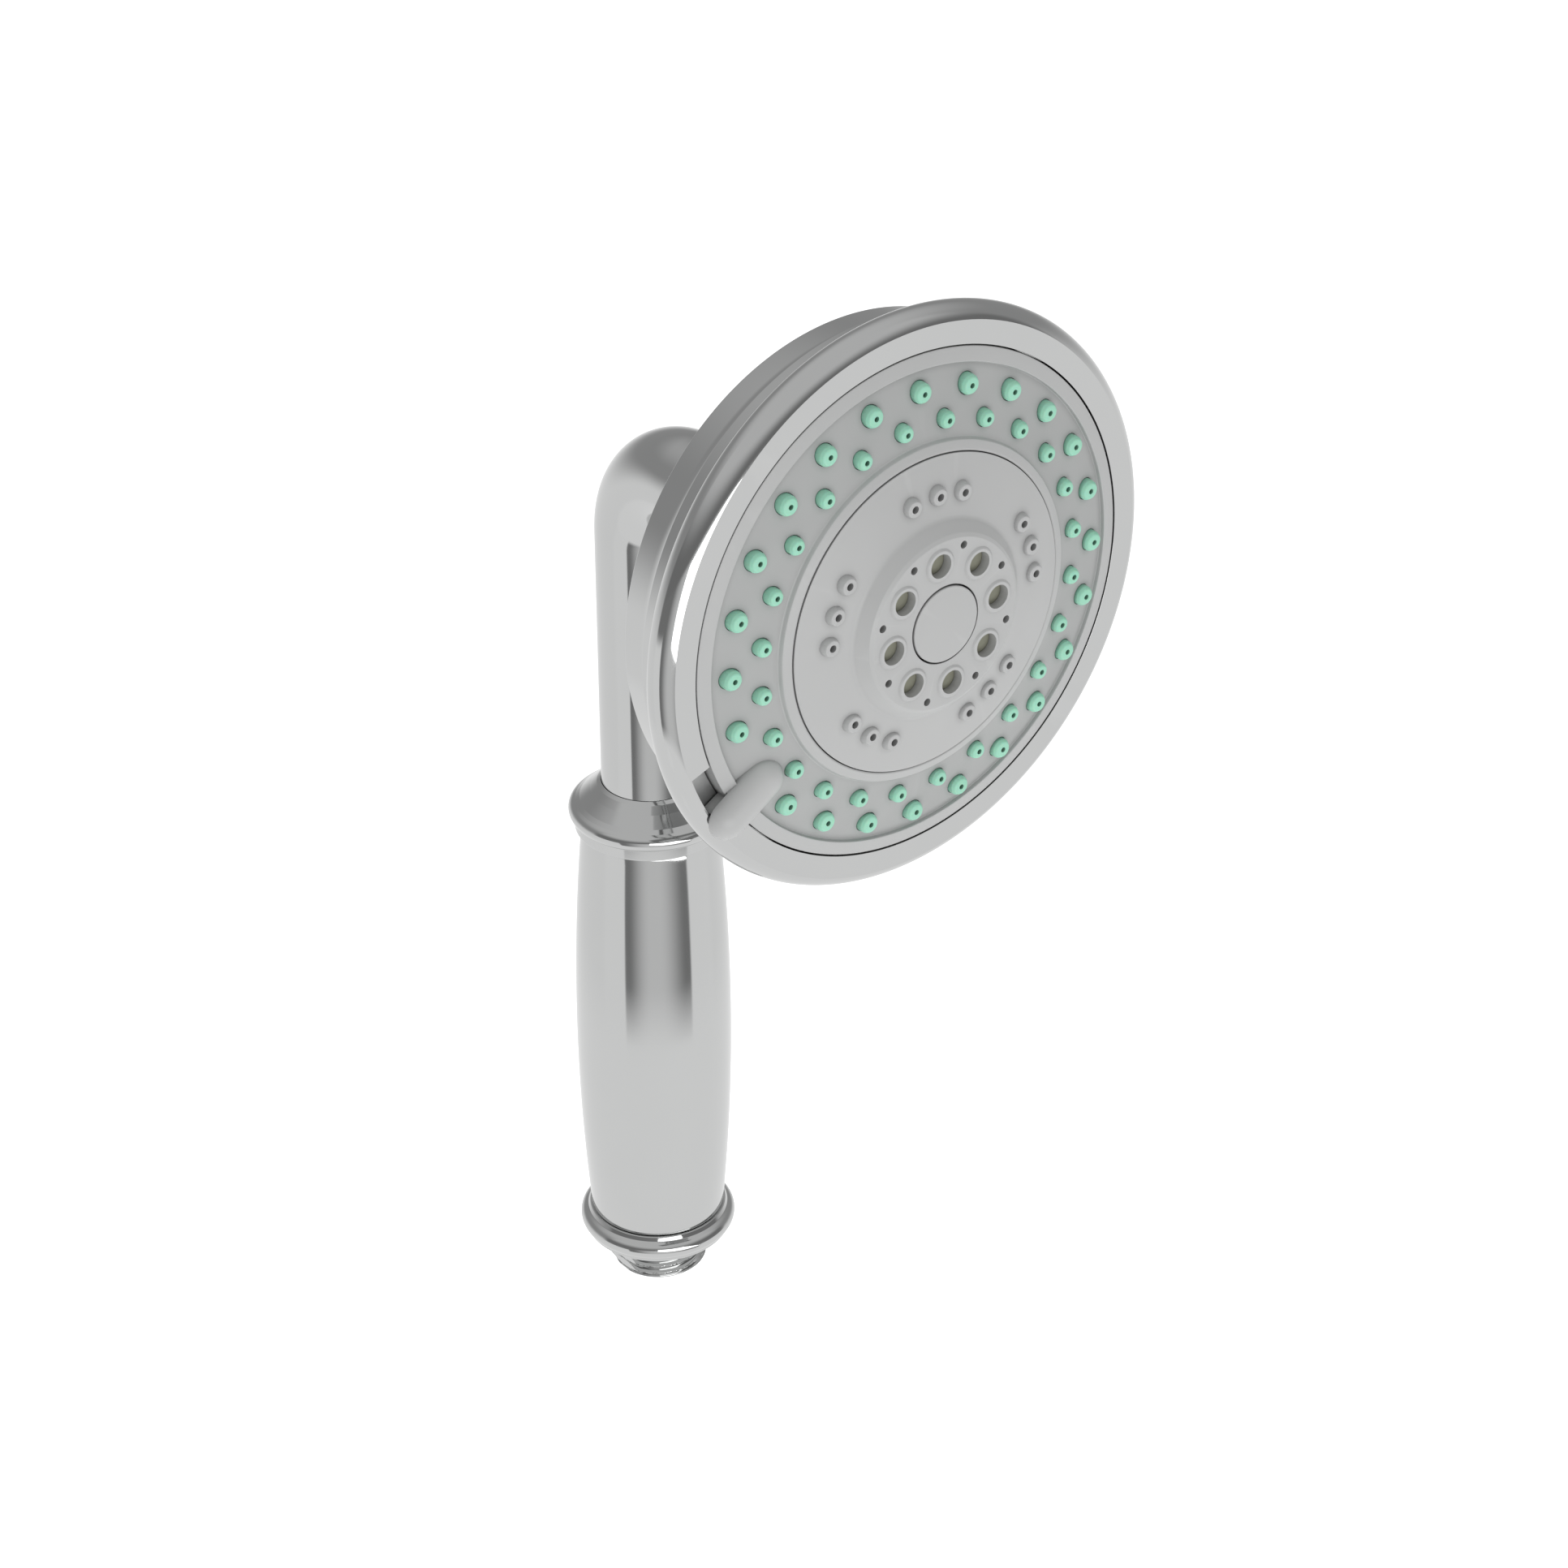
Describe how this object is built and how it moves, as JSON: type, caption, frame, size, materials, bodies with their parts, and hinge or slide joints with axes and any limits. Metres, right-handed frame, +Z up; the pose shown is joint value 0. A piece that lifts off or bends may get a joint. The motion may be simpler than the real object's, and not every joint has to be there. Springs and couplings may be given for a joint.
{
  "type": "handheld shower head",
  "caption": "Chrome handheld shower head with a barrel grip, a bent neck and a round turning face with soft nozzles and a thumb lever.",
  "frame": {"origin": "centre of the inlet thread's end face", "axes": "+Z up the grip, the spray face looks along -Y, +X to the right of someone looking at the face"},
  "size_m": [0.112, 0.1057, 0.2479],
  "materials": {
    "chrome": "polished",
    "brass": "machined",
    "steel": "machined",
    "satin_plastic": "satin silver",
    "mint_silicone": "soft silicone, mint green",
    "white_plastic": "moulded",
    "grey_plastic": "moulded",
    "black_rubber": "matt"
  },
  "bodies": {
    "handset": {"inlet_fitting": "chrome", "filter_screen": "steel", "flow_restrictor": "grey_plastic", "check_valve_body": "white_plastic", "check_valve_spring": "steel", "lower_collar": "chrome", "grip_sleeve": "chrome", "inner_tube": "brass", "lower_tube_oring": "black_rubber", "upper_tube_oring": "black_rubber", "upper_collar": "chrome", "neck_elbow": "chrome", "back_shell": "chrome", "bezel_ring": "chrome", "distributor_body": "white_plastic", "spigot_oring": "black_rubber", "axle_oring": "black_rubber", "selector_seal": "black_rubber", "detent_spring": "steel", "center_screw": "steel"},
    "spray_face": {"spray_manifold": "white_plastic", "jet_ring": "grey_plastic", "nozzle_mat": "mint_silicone", "face_plate": "satin_plastic", "center_plate": "satin_plastic", "center_cap": "satin_plastic"},
    "turbine": {"turbine_rotor": "grey_plastic"},
    "valve_poppet": {"check_valve_poppet": "grey_plastic"},
    "click_ball": {"detent_ball": "steel"}
  },
  "joints": [
    {"name": "face_turn", "type": "hinge", "parent": "handset", "child": "spray_face", "pos_m": [0, -0.076, 0.1919], "axis": [0, 1, 0], "range_deg": [0, 10]},
    {"name": "turbine_spin", "type": "hinge", "parent": "handset", "child": "turbine", "pos_m": [0, -0.081, 0.1919], "axis": [0, 1, 0], "continuous": true},
    {"name": "valve_lift", "type": "slide", "parent": "handset", "child": "valve_poppet", "axis": [0, 0, 1], "range_m": [0, 0.0025], "stiffness_N_per_m": 60, "springref_m": -0.002, "deforming": ["check_valve_spring"]},
    {"name": "click_press", "type": "slide", "parent": "handset", "child": "click_ball", "axis": [0, 1, 0], "range_m": [0, 0.0006], "stiffness_N_per_m": 400, "springref_m": -0.0006, "deforming": ["detent_spring"]}
  ]
}
